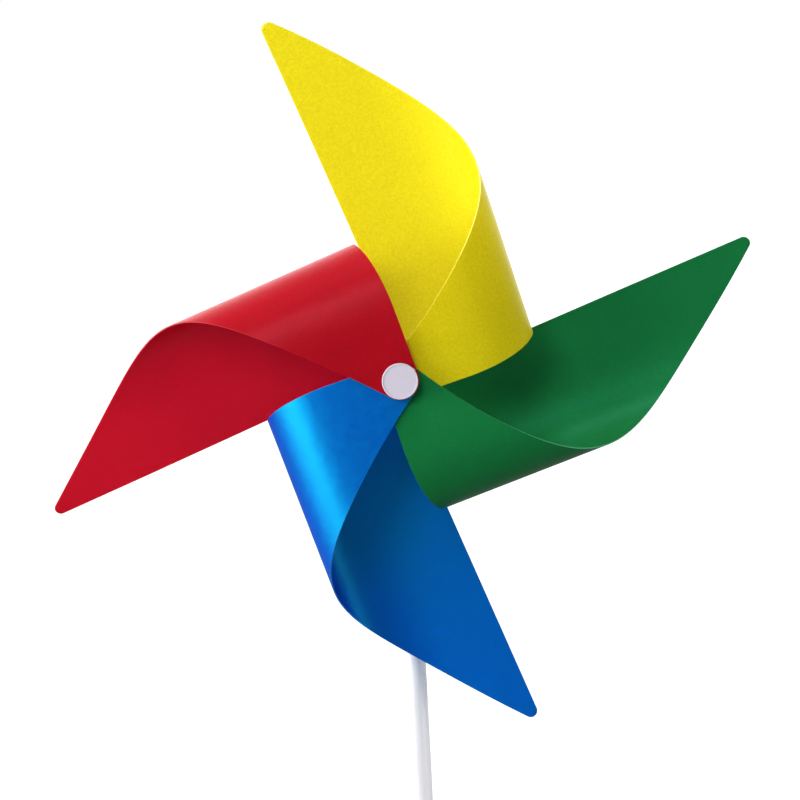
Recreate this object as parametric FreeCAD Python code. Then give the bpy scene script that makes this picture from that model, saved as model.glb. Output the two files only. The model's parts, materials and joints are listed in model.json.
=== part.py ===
import FreeCAD, Part
import math
import os

from FreeCAD import Vector

# A four-leaf toy whirligig on a stick. Millimetres, +Z up, the wheel's front faces -Y.
# The origin is the centre of the stick's lower end. The wheel spins about an axle along Y.

# Driving dimensions of the wheel
TIP_RADIUS = 120.0        # axle to the outermost point of a leaf's tip
LEAF_THICK = 0.4          # plastic sheet
LEAF_PITCH = 0.9          # from one leaf to the next where their ends are stacked on the axle
LEAF_LENGTH = 107.5       # along the sheet, from its rear hole to its front hole
LOOP_DEPTH = 36.0         # between a leaf's rear and front holes, along the axle
TIP_ROUNDING = 2.2        # radius of the leaf's tip
TIP_OFFSET = -1.1         # centre of the tip rounding, sideways from the line through the rear hole
LUG_RADIUS = 6.1          # rounded corners that carry the two holes
EDGE_OFFSET = 3.6         # from the rear hole to the straight edge, towards the sheet
LOWER_EDGE = -0.3         # height of the loop's lower edge, which clears the next leaf
S_BEND_START = 40.0       # along the sheet, where the lower edge starts down towards the front lug
S_BEND_RUN = 45.0
FLAP_DIP = 0.4            # lowest point of the lower edge, below the bottom of the front lug

# Curl of the sheet: headings, in degrees, that steer the section from rear (0) to front (180)
REAR_FLAT = 4.0
FRONT_FLAT = 11.0
REAR_HEADING = -15.0
FRONT_HEADING = 179.0

# Leaves, from the rearmost to the foremost: name, tip direction, how far in degrees the long cut
# edge bends in towards the front hole, and how much the loop narrows per millimetre towards the tip
FIRST_TIP_ANGLE = 107.4
LEAVES = [
    ("yellow_leaf", FIRST_TIP_ANGLE, 17.5, -0.0008),
    ("green_leaf", FIRST_TIP_ANGLE - 90.3, 14.4, 0.0005),
    ("blue_leaf", FIRST_TIP_ANGLE - 179.9, 11.4, 0.0002),
    ("red_leaf", FIRST_TIP_ANGLE + 91.0, 4.2, 0.0010),
]

# Axle and hub
AXLE_RADIUS = 1.5
RUNNING_GAP = 0.05        # radial, between the turning axle and the fixed bush
LUG_HOLE_RADIUS = 1.6
STACK_GAP = 0.02          # play beside each leaf in the two stacks
SLEEVE_RADIUS = 2.7
RING_RADIUS = 4.2
FLANGE_RADIUS = 6.5
FLANGE_THICK = 1.7
FLANGE_ROUNDING = 0.6
CAP_RADIUS = 5.7
CAP_THICK = 1.7
CAP_RIM_WIDTH = 0.45
CAP_RIM_HEIGHT = 0.12
CAP_RIM_ROUNDING = 0.2
CAP_BACK_ROUNDING = 0.5
CAP_BOSS_RADIUS = 4.0
CAP_BOSS_LENGTH = 1.5
AXLE_FRONT_SEAT = 2.2     # how far the axle enters the front cap
AXLE_BACK_SEAT = 3.5      # and the retaining cap
AXLE_CHAMFER = 0.3

# Stick and its head
AXLE_HEIGHT = 300.0
WHEEL_SETBACK = 16.0      # stick axis to the rearmost leaf
STICK_RADIUS = 3.3
STICK_BORE = 2.4
BARREL_RADIUS = 4.6
BARREL_LENGTH = 14.0
BARREL_ROUNDING = 0.8
NECK_RADIUS = 4.2
NECK_LENGTH = 12.0        # barrel centre down to the shoulder that sits on the tube
SPIGOT_LENGTH = 16.0      # the head's plug inside the tube
BUSH_RADIUS = 2.6
BUSH_COLLAR_RADIUS = 3.8
BUSH_COLLAR_THICK = 1.0
WASHER_RADIUS = 3.4
WASHER_THICK = 0.6
END_GAP = 0.1             # end play beside each washer
RETAINER_RADIUS = 4.0
RETAINER_LENGTH = 5.0
RETAINER_ROUNDING = 1.2
PLUG_LENGTH = 8.0
PLUG_RECESS = 0.4
PLUG_CHAMFER = 0.4

# How the curled section is worked out
SHEET_MARGIN = 2 * LUG_RADIUS     # sheet beyond the holes, from which the outline is cut
SECTION_STATIONS = 60
STEPS_PER_STATION = 10
FIRST_GUESS = (45.0, 100.0)       # the two middle headings that Newton's method starts from
HEADING_NUDGE = 0.01
NEWTON_ROUNDS = 12
EDGE_TOLERANCE = 1e-4

AXLE_DIR = Vector(0, 1, 0)
TUBE_TOP = AXLE_HEIGHT - NECK_LENGTH
CURLED_LENGTH = LEAF_LENGTH - REAR_FLAT - FRONT_FLAT


def heading(s, middle):
    """Direction of the section, in radians, at arc length s: a Bezier blend of headings."""
    u = min(max((s - REAR_FLAT) / CURLED_LENGTH, 0.0), 1.0)
    controls = [0.0, 0.0, REAR_HEADING, *middle, FRONT_HEADING, 180.0, 180.0]
    order = len(controls) - 1
    total = 0.0
    for i, angle in enumerate(controls):
        total += math.comb(order, i) * u**i * (1 - u) ** (order - i) * angle
    return math.radians(total)


def section_stations(middle):
    """Places (arc length, x, w, heading) along the sheet's mid-line, x sideways and w to the front."""
    x = -SHEET_MARGIN
    w = 0.0
    stations = [(x, x, w, 0.0)]
    step = (LEAF_LENGTH + 2 * SHEET_MARGIN) / (SECTION_STATIONS * STEPS_PER_STATION)
    for i in range(1, SECTION_STATIONS * STEPS_PER_STATION + 1):
        s = i * step - SHEET_MARGIN
        angle = heading(s - step / 2, middle)
        x += math.cos(angle) * step
        w += math.sin(angle) * step
        if i % STEPS_PER_STATION == 0:
            stations.append((s, x, w, heading(s, middle)))
    return stations


def miss(middle):
    """How far the front hole lands from the axle, and from its place along the axle."""
    _, x, w, _ = section_stations(middle)[-1]
    return x + SHEET_MARGIN, w - LOOP_DEPTH


def solve_curl():
    """The two middle headings that bring the front hole onto the axle, by Newton's method."""
    first, second = FIRST_GUESS
    for _ in range(NEWTON_ROUNDS):
        x, w = miss((first, second))
        x_first, w_first = miss((first + HEADING_NUDGE, second))
        x_second, w_second = miss((first, second + HEADING_NUDGE))
        x_by_first = (x_first - x) / HEADING_NUDGE
        w_by_first = (w_first - w) / HEADING_NUDGE
        x_by_second = (x_second - x) / HEADING_NUDGE
        w_by_second = (w_second - w) / HEADING_NUDGE
        determinant = x_by_first * w_by_second - x_by_second * w_by_first
        first -= (w_by_second * x - x_by_second * w) / determinant
        second -= (x_by_first * w - w_by_first * x) / determinant
    return first, second


def skin_curve(stations, offset, squeeze, q):
    """The section of one face of the sheet, with its width multiplied by squeeze, at height q."""
    places = []
    for _, x, w, angle in stations:
        places.append(Vector(x * squeeze - offset * math.sin(angle), -(w + offset * math.cos(angle)), q))
    curve = Part.BSplineCurve()
    curve.interpolate(Points=places, Parameters=[station[0] for station in stations])
    return curve


def skin(stations, offset, narrowing):
    """One face of the sheet as a ruled surface whose parameters are the flat sheet's (s, q)."""
    low, high = -SHEET_MARGIN, TIP_RADIUS + SHEET_MARGIN
    curves = [skin_curve(stations, offset, 1 - narrowing * q, q) for q in (low, high)]
    poles = list(zip(*(curve.getPoles() for curve in curves)))
    surface = Part.BSplineSurface()
    surface.buildFromPolesMultsKnots(
        poles, curves[0].getMultiplicities(), [2, 2], curves[0].getKnots(), [low, high],
        False, False, curves[0].Degree, 1)
    return surface


def point_on(centre, radius, angle):
    """A point of a circle in the flat sheet, with the angle in radians."""
    return centre[0] + radius * math.cos(angle), centre[1] + radius * math.sin(angle)


def arc(centre, radius, start, end):
    """An arc as its start, middle and end points."""
    return [point_on(centre, radius, angle) for angle in (start, (start + end) / 2, end)]


def lower_edge():
    """The loop's lower edge: level at first, a long S-bend down round the fold, then up to the lug."""
    lowest = -LUG_RADIUS - FLAP_DIP
    drop = LOWER_EDGE - lowest
    radius = (S_BEND_RUN**2 + drop**2) / (4 * drop)
    turn = math.asin(S_BEND_RUN / 2 / radius)
    top = (S_BEND_START, LOWER_EDGE - radius)
    bottom = (S_BEND_START + S_BEND_RUN, lowest + radius)
    first = arc(top, radius, math.pi / 2, math.pi / 2 - turn)
    second = arc(bottom, radius, -math.pi / 2 - turn, -math.pi / 2)
    second[0] = first[2]
    rear_side = (math.sqrt(LUG_RADIUS**2 - LOWER_EDGE**2), LOWER_EDGE)
    return [[rear_side, first[0]], first, second, [second[2], (LEAF_LENGTH, -LUG_RADIUS)]]


def long_edge(tip, lug, bend):
    """The long cut edge with its two rounded ends, from the front lug to the tip."""
    length = math.dist(tip, lug)
    slope = math.atan2(lug[1] - tip[1], lug[0] - tip[0])
    facing = slope + math.pi / 2 - math.asin((TIP_ROUNDING - LUG_RADIUS) / length)
    lug_arc = arc(lug, LUG_RADIUS, -math.pi / 2, facing + bend)
    tip_arc = arc(tip, TIP_ROUNDING, facing, math.pi)
    lug_handle = point_on(lug_arc[2], length / 3, facing + bend + math.pi / 2)
    tip_handle = point_on(tip_arc[0], length / 3, facing - math.pi / 2)
    return [lug_arc, [lug_arc[2], lug_handle, tip_handle, tip_arc[0]], tip_arc]


def leaf_outline(bend):
    """The flat leaf's outline, counter-clockwise: lines (2 points), arcs (3) and a Bezier curve (4)."""
    tip = (TIP_OFFSET, math.sqrt((TIP_RADIUS - TIP_ROUNDING) ** 2 - TIP_OFFSET**2))
    edge_top = math.sqrt(LUG_RADIUS**2 - EDGE_OFFSET**2)
    rear_lug = arc((0.0, 0.0), LUG_RADIUS, math.atan2(edge_top, EDGE_OFFSET),
                   2 * math.pi + math.asin(LOWER_EDGE / LUG_RADIUS))
    long_side = long_edge(tip, (LEAF_LENGTH, 0.0), math.radians(bend))
    straight_edge = [long_side[-1][2], rear_lug[0]]
    return lower_edge() + long_side + [straight_edge, rear_lug]


def wrap(segment, surface):
    """One segment of the flat outline laid on a face of the curled sheet."""
    points = [FreeCAD.Base.Vector2d(s, q) for s, q in segment]
    if len(points) == 2:
        return Part.Geom2d.Line2dSegment(*points).toShape(surface)
    if len(points) == 3:
        return Part.Geom2d.ArcOfCircle2d(*points).toShape(surface)
    curve = Part.Geom2d.BezierCurve2d()
    curve.setPoles(points)
    return curve.toShape(surface)


def leaf(stations, bend, narrowing):
    """A curled leaf with its tip up, its rear hole at the origin, and its front facing -Y."""
    skins = [skin(stations, side * LEAF_THICK / 2, narrowing) for side in (1, -1)]
    outline = leaf_outline(bend)
    outlines = [Part.Wire([wrap(segment, surface) for segment in outline]) for surface in skins]
    faces = [Part.Face(surface, wire) for surface, wire in zip(skins, outlines)]
    rims = Part.makeLoft(outlines, False, True).Faces
    shell = Part.Compound(faces + rims)
    shell.sewShape()
    solid = Part.Solid(shell.Shells[0])
    if solid.Volume < 0:
        solid.reverse()
    for w in (0.0, LOOP_DEPTH):
        start = Vector(0, -w - 2 * LEAF_THICK, 0)
        solid = solid.cut(Part.makeCylinder(LUG_HOLE_RADIUS, 4 * LEAF_THICK, start, AXLE_DIR))
    return solid.Solids[0]


def disc(radius, y_front, y_back, bore=0.0):
    """A round piece on the axle, from y_front back to y_back, with an optional bore."""
    centre = Vector(0, y_front, AXLE_HEIGHT)
    shape = Part.makeCylinder(radius, y_back - y_front, centre, AXLE_DIR)
    if bore:
        shape = shape.cut(Part.makeCylinder(bore, y_back - y_front, centre, AXLE_DIR))
    return shape


def edges_at(shape, radius, y):
    """The circular edges of a given radius that lie at y."""
    found = []
    for edge in shape.Edges:
        if not isinstance(edge.Curve, Part.Circle):
            continue
        same_size = abs(edge.Curve.Radius - radius) < EDGE_TOLERANCE
        same_place = abs(edge.CenterOfMass.y - y) < EDGE_TOLERANCE
        if same_size and same_place:
            found.append(edge)
    return found


# Places along the axle, from the front (-Y) to the back
REAR_LUG_Y = -WHEEL_SETBACK
STACK_DEPTH = (len(LEAVES) - 1) * LEAF_PITCH
FRONT_LUG_Y = REAR_LUG_Y - LOOP_DEPTH
CAP_BACK_Y = FRONT_LUG_Y - STACK_DEPTH - LEAF_THICK / 2 - STACK_GAP
CAP_DISC_Y = CAP_BACK_Y - CAP_BOSS_LENGTH
CAP_FRONT_Y = CAP_DISC_Y - CAP_THICK
FLANGE_FRONT_Y = REAR_LUG_Y + LEAF_THICK / 2 + STACK_GAP
BARREL_FRONT_Y = -BARREL_LENGTH / 2
COLLAR_FRONT_Y = BARREL_FRONT_Y - BUSH_COLLAR_THICK
FRONT_WASHER_Y = COLLAR_FRONT_Y - WASHER_THICK
FLANGE_BACK_Y = FRONT_WASHER_Y - END_GAP
BARREL_BACK_Y = BARREL_LENGTH / 2
REAR_WASHER_Y = BARREL_BACK_Y
RETAINER_FRONT_Y = REAR_WASHER_Y + WASHER_THICK + END_GAP
RETAINER_BACK_Y = RETAINER_FRONT_Y + RETAINER_LENGTH
AXLE_FRONT_Y = CAP_BACK_Y - AXLE_FRONT_SEAT
AXLE_BACK_Y = RETAINER_FRONT_Y + AXLE_BACK_SEAT


def make_leaves():
    """The four curled leaves, threaded on the axle by their rear and front holes."""
    stations = section_stations(solve_curl())
    shapes = {}
    for place, (name, angle, bend, narrowing) in enumerate(LEAVES):
        shape = leaf(stations, bend, narrowing)
        shape.rotate(Vector(), AXLE_DIR, 90.0 - angle)
        shape.translate(Vector(0, REAR_LUG_Y - place * LEAF_PITCH, AXLE_HEIGHT))
        shapes[name] = shape
    return shapes


def spacer_rings(stack, first_lug_y):
    """Three rings that sit between the four leaves' lugs in one of the two stacks."""
    rings = {}
    for gap in range(1, len(LEAVES)):
        back = first_lug_y - (gap - 1) * LEAF_PITCH - LEAF_THICK / 2 - STACK_GAP
        front = first_lug_y - gap * LEAF_PITCH + LEAF_THICK / 2 + STACK_GAP
        rings[f"{stack}_spacer_ring_{gap}"] = disc(RING_RADIUS, front, back, AXLE_RADIUS)
    return rings


def hub_sleeve():
    """The tube that keeps the rear and front stacks apart."""
    back = REAR_LUG_Y - STACK_DEPTH - LEAF_THICK / 2 - STACK_GAP
    front = FRONT_LUG_Y + LEAF_THICK / 2 + STACK_GAP
    return disc(SLEEVE_RADIUS, front, back, AXLE_RADIUS)


def front_cap():
    """A round button with a thin raised rim, standing off the leaves on a boss the axle enters."""
    face = disc(CAP_RADIUS, CAP_FRONT_Y, CAP_DISC_Y)
    face = face.makeFillet(CAP_BACK_ROUNDING, edges_at(face, CAP_RADIUS, CAP_DISC_Y))
    face = face.makeFillet(CAP_RIM_ROUNDING, edges_at(face, CAP_RADIUS, CAP_FRONT_Y))
    dish_radius = CAP_RADIUS - CAP_RIM_WIDTH
    face = face.cut(disc(dish_radius, CAP_FRONT_Y, CAP_FRONT_Y + CAP_RIM_HEIGHT))
    boss = disc(CAP_BOSS_RADIUS, CAP_DISC_Y - CAP_THICK / 2, CAP_BACK_Y)
    return face.fuse(boss).cut(disc(AXLE_RADIUS, AXLE_FRONT_Y, CAP_BACK_Y)).removeSplitter()


def axle_pin():
    """The turning axle, chamfered at both ends."""
    pin = disc(AXLE_RADIUS, AXLE_FRONT_Y, AXLE_BACK_Y)
    ends = edges_at(pin, AXLE_RADIUS, AXLE_FRONT_Y) + edges_at(pin, AXLE_RADIUS, AXLE_BACK_Y)
    return pin.makeChamfer(AXLE_CHAMFER, ends)


def rear_flange():
    """A flange behind the rear lugs with a long boss that runs against the front washer."""
    plate_back = FLANGE_FRONT_Y + FLANGE_THICK
    plate = disc(FLANGE_RADIUS, FLANGE_FRONT_Y, plate_back)
    plate = plate.makeFillet(FLANGE_ROUNDING, edges_at(plate, FLANGE_RADIUS, plate_back))
    boss = disc(WASHER_RADIUS, FLANGE_FRONT_Y + FLANGE_THICK / 2, FLANGE_BACK_Y)
    return plate.fuse(boss).cut(disc(AXLE_RADIUS, FLANGE_FRONT_Y, FLANGE_BACK_Y)).removeSplitter()


def retaining_cap():
    """A domed push-on cap that holds the axle in the head."""
    body = disc(RETAINER_RADIUS, RETAINER_FRONT_Y, RETAINER_BACK_Y)
    body = body.makeFillet(RETAINER_ROUNDING, edges_at(body, RETAINER_RADIUS, RETAINER_BACK_Y))
    return body.cut(disc(AXLE_RADIUS, RETAINER_FRONT_Y, AXLE_BACK_Y))


def thrust_washer(y_front):
    """A washer that the turning parts run against."""
    return disc(WASHER_RADIUS, y_front, y_front + WASHER_THICK, AXLE_RADIUS + 2 * RUNNING_GAP)


def axle_bush():
    """A collared sleeve in the head's barrel, in which the axle turns."""
    sleeve = disc(BUSH_RADIUS, BARREL_FRONT_Y, BARREL_BACK_Y)
    collar = disc(BUSH_COLLAR_RADIUS, COLLAR_FRONT_Y, BARREL_FRONT_Y)
    bore = disc(AXLE_RADIUS + RUNNING_GAP, COLLAR_FRONT_Y, BARREL_BACK_Y)
    return sleeve.fuse(collar).cut(bore).removeSplitter()


def stick_head():
    """A cross barrel on a tapered neck, whose spigot plugs into the top of the tube."""
    barrel = disc(BARREL_RADIUS, BARREL_FRONT_Y, BARREL_BACK_Y)
    for end_y in (BARREL_FRONT_Y, BARREL_BACK_Y):
        barrel = barrel.makeFillet(BARREL_ROUNDING, edges_at(barrel, BARREL_RADIUS, end_y))
    barrel = barrel.cut(disc(BUSH_RADIUS, BARREL_FRONT_Y, BARREL_BACK_Y))
    neck = Part.makeCone(STICK_RADIUS, NECK_RADIUS, NECK_LENGTH, Vector(0, 0, TUBE_TOP))
    spigot = Part.makeCylinder(STICK_BORE, SPIGOT_LENGTH, Vector(0, 0, TUBE_TOP - SPIGOT_LENGTH))
    mid_wall = (BARREL_RADIUS + BUSH_RADIUS) / 2
    stem = neck.fuse(spigot).cut(disc(mid_wall, BARREL_FRONT_Y, BARREL_BACK_Y))
    return barrel.fuse(stem).removeSplitter()


def stick_tube():
    """The plain round tube of the stick."""
    tube = Part.makeCylinder(STICK_RADIUS, TUBE_TOP)
    return tube.cut(Part.makeCylinder(STICK_BORE, TUBE_TOP))


def foot_plug():
    """A plug that closes the tube's lower end, slightly recessed."""
    plug = Part.makeCylinder(STICK_BORE, PLUG_LENGTH, Vector(0, 0, PLUG_RECESS))
    top_edge = max(plug.Edges, key=lambda edge: edge.BoundBox.ZMin)
    return plug.makeChamfer(PLUG_CHAMFER, [top_edge])


def main():
    shapes = make_leaves()
    shapes["front_cap"] = front_cap()
    shapes["axle_pin"] = axle_pin()
    shapes["hub_sleeve"] = hub_sleeve()
    shapes.update(spacer_rings("front", FRONT_LUG_Y))
    shapes.update(spacer_rings("rear", REAR_LUG_Y))
    shapes["rear_flange"] = rear_flange()
    shapes["retaining_cap"] = retaining_cap()
    shapes["front_washer"] = thrust_washer(FRONT_WASHER_Y)
    shapes["rear_washer"] = thrust_washer(REAR_WASHER_Y)
    shapes["axle_bush"] = axle_bush()
    shapes["stick_head"] = stick_head()
    shapes["stick_tube"] = stick_tube()
    shapes["foot_plug"] = foot_plug()
    os.makedirs("parts", exist_ok=True)
    for name, shape in shapes.items():
        shape.exportStep(f"parts/{name}.step")
        print(name, shape.isValid(), len(shape.Solids), round(shape.Volume, 1))


main()
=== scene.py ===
import bmesh
import bpy
import json
import math
from mathutils import Matrix, Vector


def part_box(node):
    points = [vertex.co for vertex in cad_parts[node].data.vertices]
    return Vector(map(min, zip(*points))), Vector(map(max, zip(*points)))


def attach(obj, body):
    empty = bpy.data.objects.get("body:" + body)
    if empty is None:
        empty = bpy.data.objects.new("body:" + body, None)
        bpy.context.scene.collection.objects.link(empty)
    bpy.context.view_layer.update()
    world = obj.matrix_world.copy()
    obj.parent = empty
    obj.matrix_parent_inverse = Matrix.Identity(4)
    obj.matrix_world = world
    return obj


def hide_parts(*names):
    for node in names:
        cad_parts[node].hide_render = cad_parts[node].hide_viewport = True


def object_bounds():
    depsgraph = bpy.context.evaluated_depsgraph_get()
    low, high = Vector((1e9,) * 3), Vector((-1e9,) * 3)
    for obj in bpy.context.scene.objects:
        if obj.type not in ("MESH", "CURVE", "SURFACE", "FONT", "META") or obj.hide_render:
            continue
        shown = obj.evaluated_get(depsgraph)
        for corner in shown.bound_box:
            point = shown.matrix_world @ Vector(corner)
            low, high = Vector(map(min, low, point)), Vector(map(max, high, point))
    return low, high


# A toy pinwheel: curled sheet leaves on an axle in the head of a white stick. Metres, +Z up,
# the wheel's front faces -Y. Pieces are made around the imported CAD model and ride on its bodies.

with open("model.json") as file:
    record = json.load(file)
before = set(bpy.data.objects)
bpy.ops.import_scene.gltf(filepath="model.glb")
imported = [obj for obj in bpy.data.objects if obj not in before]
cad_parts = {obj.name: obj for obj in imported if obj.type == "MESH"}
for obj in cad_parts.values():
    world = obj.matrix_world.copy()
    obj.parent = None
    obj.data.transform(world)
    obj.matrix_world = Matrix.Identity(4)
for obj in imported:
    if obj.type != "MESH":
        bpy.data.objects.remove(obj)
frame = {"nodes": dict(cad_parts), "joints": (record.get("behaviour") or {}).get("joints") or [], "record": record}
CAD_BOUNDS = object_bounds()

MM = 0.001
NODES = frame["nodes"]
BODY_OF = {}
for body, members in frame["record"]["behaviour"]["bodies"].items():
    BODY_OF.update({node: body for node in members})
SLOT_OF = {part["node"]: part["material_slot"] for part in frame["record"]["subparts"]}
AXLE = Vector(frame["joints"][0]["pos_m"])
HUB = Vector((AXLE.x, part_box("yellow_leaf")[1].y, AXLE.z))

# Rounding of the CAD copies
WELD = 0.002 * MM                   # vertices this close are one
SHARP_ANGLE = math.radians(50)
SHEET_CORNER = 0.09 * MM
MOULDED_CORNER = 0.15 * MM

# The gate vestige on the front cap's rim
GATE_ANGLE = math.radians(37)       # from +X up
GATE_WIDTH = 1.0 * MM
GATE_HEIGHT = 0.9 * MM
GATE_REACH = 0.2 * MM               # beyond the rim
GATE_INSET = 0.2 * MM               # behind the rim's front
GATE_CORNER = 0.09 * MM

# Noise in the surfaces, as features per metre
CLOUD_SCALE = 60                    # uneven tone
SHEET_GRAIN = 1700
EDGE_GRAIN = 2600
MOULDED_GRAIN = 1500
NYLON_GRAIN = 2000
STEEL_GRAIN = 1800
DRAWN_SCALE = 1400                  # across the lines along the tube
FLOOR_CLOUDS = 3

# Marks that the moulds leave
RING_SCALE = 420                    # wave scale that puts turned rings about 0.75 mm apart
PARTING_REACH = 0.12 * MM           # half the width of the parting line

# The leaves: colour of the sheet, tint and strength of its gloss, share of the light that scatters
# inside it, colour of its cut edge (linear RGB)
SHEET_IOR = 2.2
SCATTER_DEPTH = 1.5 * MM
LEAVES = {
    "yellow_leaf": ((0.66, 0.555, 0.007), (1.0, 0.87, 0.1), 0.02, 0.85, (0.95, 0.86, 0.20)),
    "green_leaf": ((0.008, 0.172, 0.040), (0.1, 1.0, 0.65), 0.06, 0.1, (0.05, 0.38, 0.17)),
    "blue_leaf": ((0.0003, 0.003, 0.40), (0.01, 0.79, 1.0), 1.0, 0.4, (0.02, 0.22, 0.70)),
    "red_leaf": ((0.39, 0.0020, 0.009), (1.0, 0.35, 0.42), 0.06, 0.9, (0.60, 0.03, 0.05)),
}


# ---------------------------------------------------------------- procedural materials

def add_node(tree, kind, values=None, **settings):
    """A shader node with its settings and the values of its inputs, by name or number."""
    node = tree.nodes.new(kind)
    for key, value in settings.items():
        setattr(node, key, value)
    for key, value in (values or {}).items():
        node.inputs[key].default_value = value
    return node


def noise(tree, scale, detail=2.0, roughness=0.55, stretch=(1, 1, 1)):
    """A noise pattern in the object's own metres, whose features are about 1/scale long."""
    place = add_node(tree, "ShaderNodeTexCoord")
    mapping = add_node(tree, "ShaderNodeMapping", {"Scale": stretch})
    pattern = add_node(tree, "ShaderNodeTexNoise",
                       {"Scale": scale, "Detail": detail, "Roughness": roughness})
    tree.links.new(place.outputs["Object"], mapping.inputs["Vector"])
    tree.links.new(mapping.outputs["Vector"], pattern.inputs["Vector"])
    return pattern.outputs["Fac"]


def spread(tree, source, low, high):
    """The source, whose noise lies mostly from 0.3 to 0.7, carried to the range low to high."""
    node = add_node(tree, "ShaderNodeMapRange",
                    {"From Min": 0.3, "From Max": 0.7, "To Min": low, "To Max": high})
    tree.links.new(source, node.inputs["Value"])
    return node.outputs["Result"]


def product(tree, a, b):
    node = add_node(tree, "ShaderNodeMath", operation="MULTIPLY")
    tree.links.new(a, node.inputs[0])
    tree.links.new(b, node.inputs[1])
    return node.outputs["Value"]


def shaded(tree, colour, brightness):
    """The colour, multiplied by a brightness socket."""
    node = add_node(tree, "ShaderNodeVectorMath", {0: colour}, operation="SCALE")
    tree.links.new(brightness, node.inputs["Scale"])
    return node.outputs["Vector"]


def bump(tree, height, strength, distance):
    node = add_node(tree, "ShaderNodeBump", {"Strength": strength, "Distance": distance})
    tree.links.new(height, node.inputs["Height"])
    return node.outputs["Normal"]


def plastic(name, colour, mottle, roughness, grain_scale, grain_depth, grain_tone=0.0, **extra):
    """Coloured plastic: cloudy tone, a fine surface grain, and roughness that varies with it."""
    mat = bpy.data.materials.new(name)
    mat.use_nodes = True
    tree = mat.node_tree
    shader = tree.nodes["Principled BSDF"]
    grain = noise(tree, grain_scale)
    cloud = spread(tree, noise(tree, CLOUD_SCALE), 1 - mottle, 1 + mottle)
    speckle = spread(tree, grain, 1 - grain_tone, 1 + grain_tone)
    tree.links.new(shaded(tree, colour, product(tree, cloud, speckle)), shader.inputs["Base Color"])
    tree.links.new(spread(tree, noise(tree, grain_scale / 3), *roughness), shader.inputs["Roughness"])
    tree.links.new(bump(tree, grain, 1.0, grain_depth), shader.inputs["Normal"])
    for key, value in extra.items():
        shader.inputs[key.replace("_", " ")].default_value = value
    return mat


# ---------------------------------------------------------------- leaves

def islands(bm, borders):
    """Groups of faces that are joined without crossing the border edges, the largest area first."""
    seen = set()
    groups = []
    for face in bm.faces:
        if face in seen:
            continue
        seen.add(face)
        group = [face]
        for member in group:
            for edge in member.edges:
                if edge in borders:
                    continue
                for other in edge.link_faces:
                    if other not in seen:
                        seen.add(other)
                        group.append(other)
        groups.append(group)
    return sorted(groups, key=lambda group: -sum(face.calc_area() for face in group))


def rounded_copy(node, suffix, corner, finishes):
    """A copy of a CAD node that replaces it, with its sharp edges rounded to a small radius.

    With two finishes, the two largest faces get the first and the cut rims between them the second.
    """
    bm = bmesh.new()
    bm.from_mesh(NODES[node].data)
    bmesh.ops.remove_doubles(bm, verts=bm.verts, dist=WELD)
    sharp = {edge for edge in bm.edges if edge.calc_face_angle(0) > SHARP_ANGLE}
    for group in islands(bm, sharp)[2:]:
        for face in group:
            face.material_index = len(finishes) - 1
    bmesh.ops.bevel(bm, geom=list(sharp), offset=corner, segments=3, profile=0.5,
                    affect="EDGES", clamp_overlap=True, material=len(finishes) - 1)
    for face in bm.faces:
        face.smooth = True
    mesh = bpy.data.meshes.new(node + suffix)
    bm.to_mesh(mesh)
    bm.free()
    for finish in finishes:
        mesh.materials.append(finish)
    piece = bpy.data.objects.new(node + suffix, mesh)
    bpy.context.scene.collection.objects.link(piece)
    piece.modifiers.new("even normals", "WEIGHTED_NORMAL")
    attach(piece, BODY_OF[node])
    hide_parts(node)
    return piece


for node, (colour, tint, gloss, milkiness, edge_colour) in LEAVES.items():
    name = SLOT_OF[node]
    sheet = plastic(name, colour, mottle=0.02, roughness=(0.34, 0.40), grain_scale=SHEET_GRAIN,
                    grain_depth=0.018 * MM, grain_tone=0.09,
                    Specular_Tint=(*tint, 1), Specular_IOR_Level=gloss, IOR=SHEET_IOR,
                    Subsurface_Weight=milkiness, Subsurface_Radius=(1, 1, 1),
                    Subsurface_Scale=SCATTER_DEPTH)
    cut_edge = plastic(name + "_edge", edge_colour, mottle=0.05, roughness=(0.5, 0.6),
                       grain_scale=EDGE_GRAIN, grain_depth=0.01 * MM)
    rounded_copy(node, "_sheet", SHEET_CORNER, (sheet, cut_edge))


# ---------------------------------------------------------------- hub and stick

def moulded(name, colour, mottle, roughness, marks, depth, **extra):
    """Plain plastic with shallow marks of its own, such as rings left by a tool, besides the grain."""
    mat = plastic(name, colour, mottle, roughness, grain_scale=MOULDED_GRAIN,
                  grain_depth=0.006 * MM, grain_tone=0.015, **extra)
    tree = mat.node_tree
    shader = tree.nodes["Principled BSDF"]
    grain = shader.inputs["Normal"].links[0].from_node
    coarse = add_node(tree, "ShaderNodeBump", {"Strength": 1.0, "Distance": depth})
    tree.links.new(marks(tree), coarse.inputs["Height"])
    tree.links.new(coarse.outputs["Normal"], grain.inputs["Normal"])
    return mat


def turned_rings(tree):
    """Faint rings about the axle, like those a turned mould leaves on a button's face."""
    place = add_node(tree, "ShaderNodeTexCoord")
    centred = add_node(tree, "ShaderNodeVectorMath", {1: AXLE}, operation="SUBTRACT")
    tree.links.new(place.outputs["Object"], centred.inputs[0])
    rings = add_node(tree, "ShaderNodeTexWave",
                     {"Scale": RING_SCALE, "Distortion": 0.6, "Detail": 1.0},
                     wave_type="RINGS", rings_direction="Y")
    tree.links.new(centred.outputs["Vector"], rings.inputs["Vector"])
    return rings.outputs["Fac"]


def drawn_lines(tree):
    """Long faint lines up the stick, like those an extrusion die leaves."""
    return noise(tree, DRAWN_SCALE, stretch=(1, 1, 0.01))


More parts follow.
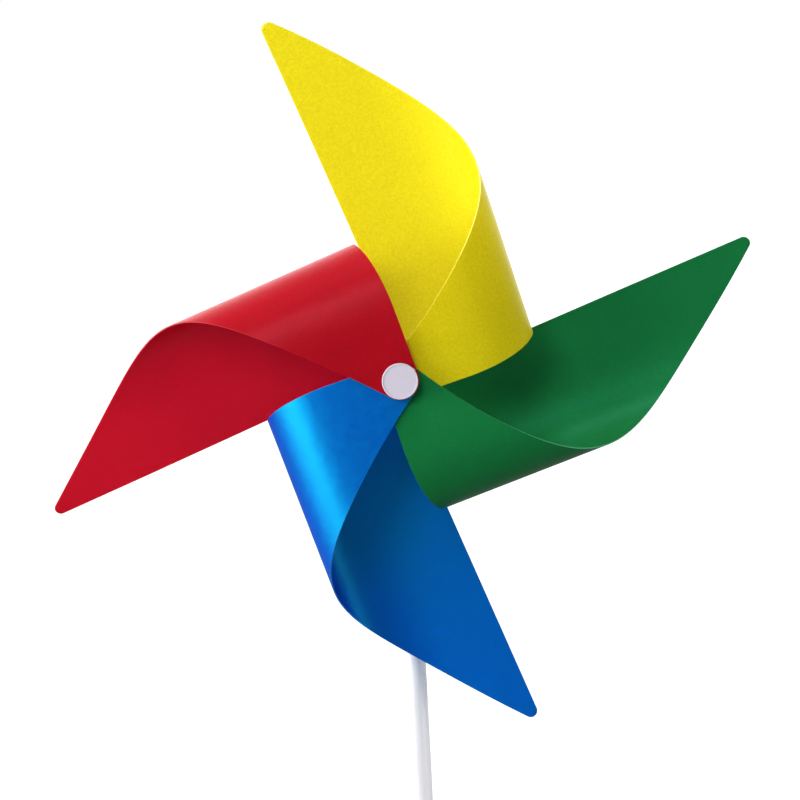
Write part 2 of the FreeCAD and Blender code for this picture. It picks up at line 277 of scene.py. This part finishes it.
def parting_line(tree):
    """A fine raised line in the plane X = 0, where the halves of the mould met."""
    place = add_node(tree, "ShaderNodeTexCoord")
    split = add_node(tree, "ShaderNodeSeparateXYZ")
    tree.links.new(place.outputs["Object"], split.inputs["Vector"])
    away = add_node(tree, "ShaderNodeMath", operation="ABSOLUTE")
    tree.links.new(split.outputs["X"], away.inputs[0])
    line = add_node(tree, "ShaderNodeMapRange",
                    {"From Max": PARTING_REACH, "To Min": 1.0, "To Max": 0.0})
    tree.links.new(away.outputs["Value"], line.inputs["Value"])
    return line.outputs["Result"]


WHITE = (0.62, 0.58, 0.675)
PALE = (0.72, 0.72, 0.75)
NATURAL = (0.70, 0.66, 0.56)
GREY = (0.56, 0.56, 0.57)
BUTTON = moulded("button_plastic", WHITE, mottle=0.03, roughness=(0.34, 0.44),
                 marks=turned_rings, depth=0.012 * MM)
FINISHES = {
    "white_plastic": moulded("white_plastic", WHITE, mottle=0.02, roughness=(0.32, 0.42),
                             marks=parting_line, depth=0.06 * MM),
    "stick_plastic": moulded("stick_plastic", PALE, mottle=0.01, roughness=(0.30, 0.38),
                             marks=drawn_lines, depth=0.01 * MM, Subsurface_Weight=0.3,
                             Subsurface_Radius=(1, 1, 1), Subsurface_Scale=2 * MM),
    "washer_nylon": plastic("washer_nylon", NATURAL, mottle=0.03, roughness=(0.40, 0.52),
                            grain_scale=NYLON_GRAIN, grain_depth=0.01 * MM, grain_tone=0.03),
    "axle_steel": plastic("axle_steel", GREY, mottle=0.04, roughness=(0.25, 0.35),
                          grain_scale=STEEL_GRAIN, grain_depth=0.01 * MM, Metallic=1.0),
}
TURNED_NODES = ("front_cap", "retaining_cap", "rear_flange")

for node, slot_name in SLOT_OF.items():
    if slot_name in FINISHES:
        finish = BUTTON if node in TURNED_NODES else FINISHES[slot_name]
        rounded_copy(node, "_body", MOULDED_CORNER, (finish,))


def gate_vestige():
    """The small stub on the front cap's rim where it was cut from its runner."""
    low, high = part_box("front_cap")
    radius = (high.x - low.x) / 2
    bpy.ops.mesh.primitive_cube_add(size=1)
    stub = bpy.context.object
    stub.name = "front_cap_gate"
    out = Vector((math.cos(GATE_ANGLE), 0, math.sin(GATE_ANGLE)))
    depth = 4 * GATE_REACH
    foot = Vector((0, low.y + GATE_INSET + GATE_HEIGHT / 2, AXLE.z))
    centre = foot + out * (radius + GATE_REACH - depth / 2)
    turn = Matrix.Rotation(-GATE_ANGLE, 4, "Y")
    scale = Matrix.Diagonal((depth, GATE_HEIGHT, GATE_WIDTH, 1))
    stub.data.transform(Matrix.Translation(centre) @ turn @ scale)
    bevel = stub.modifiers.new("worn corners", "BEVEL")
    bevel.width = GATE_CORNER
    bevel.segments = 3
    stub.data.shade_smooth()
    stub.data.materials.append(BUTTON)
    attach(stub, "rotor")


gate_vestige()


# ---------------------------------------------------------------- floor, light and camera

FLOOR_SIZE = 120
FLOOR_TONE = (0.2, 0.2, 0.2)
LIGHT_DISTANCE = 1.2
WHITE_LIGHT = (1, 1, 1, 1)


def make_floor():
    """A large pale floor that is white to the camera and throws little light back up."""
    bpy.ops.mesh.primitive_plane_add(size=FLOOR_SIZE, location=(0, 0, CAD_BOUNDS[0].z))
    floor = bpy.context.object
    floor.name = "floor"
    mat = bpy.data.materials.new("floor")
    mat.use_nodes = True
    tree = mat.node_tree
    shader = tree.nodes["Principled BSDF"]
    tone = shaded(tree, FLOOR_TONE, spread(tree, noise(tree, FLOOR_CLOUDS), 0.97, 1.03))
    tree.links.new(tone, shader.inputs["Base Color"])
    shader.inputs["Roughness"].default_value = 0.9
    shader.inputs["Emission Color"].default_value = WHITE_LIGHT
    path = add_node(tree, "ShaderNodeLightPath")
    tree.links.new(path.outputs["Is Camera Ray"], shader.inputs["Emission Strength"])
    floor.data.materials.append(mat)


def softbox(name, off_axis, around, size, power):
    """A soft square light that faces the hub from LIGHT_DISTANCE.

    It is off_axis degrees from straight in front, towards the angle around (0 right, 90 up).
    """
    data = bpy.data.lights.new(name, "AREA")
    data.size = size
    data.energy = power
    light = bpy.data.objects.new(name, data)
    bpy.context.scene.collection.objects.link(light)
    tilt = math.radians(off_axis)
    turn = math.radians(around)
    sideways = Vector((math.cos(turn), 0, math.sin(turn)))
    direction = sideways * math.sin(tilt) - Vector((0, 1, 0)) * math.cos(tilt)
    light.location = HUB + direction * LIGHT_DISTANCE
    light.rotation_mode = "QUATERNION"
    light.rotation_quaternion = (HUB - light.location).to_track_quat("-Z", "Y")
    light.visible_camera = False
    return light


def light_only(light, piece):
    """Make the light fall on one piece only, as a shaded studio lamp does."""
    receivers = bpy.data.collections.new("lit by " + light.name)
    receivers.objects.link(bpy.data.objects[piece])
    light.light_linking.receiver_collection = receivers


def make_world(front, back, dim_to):
    """White to the camera. To the object, a dim room in front and a bright white backdrop behind.

    The room keeps the level front up to the directions whose Y is dim_to, then rises to back.
    """
    world = bpy.data.worlds.new("studio")
    bpy.context.scene.world = world
    world.use_nodes = True
    tree = world.node_tree
    background = tree.nodes["Background"]
    background.inputs["Color"].default_value = WHITE_LIGHT
    direction = add_node(tree, "ShaderNodeTexCoord")
    split = add_node(tree, "ShaderNodeSeparateXYZ")
    tree.links.new(direction.outputs["Generated"], split.inputs["Vector"])
    depth = add_node(tree, "ShaderNodeMapRange", {"From Min": dim_to, "To Min": front, "To Max": back})
    tree.links.new(split.outputs["Y"], depth.inputs["Value"])
    path = add_node(tree, "ShaderNodeLightPath")
    level = add_node(tree, "ShaderNodeMix", {"B": 1.0})
    tree.links.new(path.outputs["Is Camera Ray"], level.inputs["Factor"])
    tree.links.new(depth.outputs["Result"], level.inputs["A"])
    tree.links.new(level.outputs["Result"], background.inputs["Strength"])


def make_camera(azimuth, elevation, roll, distance, shift_right, shift_up, lens):
    """A camera in front of the hub; angles in degrees, azimuth moves it towards +X."""
    a, e, r = (math.radians(angle) for angle in (azimuth, elevation, roll))
    right = Vector((math.cos(a), math.sin(a), 0))
    forward = Vector((-math.sin(a) * math.cos(e), math.cos(a) * math.cos(e), -math.sin(e)))
    up = right.cross(forward)
    place = HUB + right * shift_right + up * shift_up - forward * distance
    rolled_right = right * math.cos(r) - up * math.sin(r)
    rolled_up = right * math.sin(r) + up * math.cos(r)
    data = bpy.data.cameras.new("camera")
    data.lens = lens
    data.sensor_width = 36
    data.clip_end = 200
    camera = bpy.data.objects.new("camera", data)
    bpy.context.scene.collection.objects.link(camera)
    turn = Matrix((rolled_right, rolled_up, -forward)).transposed()
    camera.matrix_world = Matrix.Translation(place) @ turn.to_4x4()
    bpy.context.scene.camera = camera


make_floor()
make_world(front=0.20, back=2.5, dim_to=-0.3)
softbox("left", off_axis=70, around=180, size=0.84, power=19.0)
softbox("front", off_axis=30, around=130, size=0.40, power=5.0)
softbox("top", off_axis=70, around=95, size=0.40, power=5.0)
blue_fill = softbox("blue_fill", off_axis=50, around=188, size=0.45, power=3.2)
light_only(blue_fill, "blue_leaf_sheet")
stick_fill = softbox("stick_fill", off_axis=62, around=-5, size=0.60, power=9.0)
light_only(stick_fill, "stick_tube_body")
make_camera(azimuth=0.34, elevation=4.61, roll=3.0, distance=1.5,
            shift_right=-0.58 * MM, shift_up=-9.2 * MM, lens=209.3)
bpy.context.scene.view_settings.view_transform = "Standard"
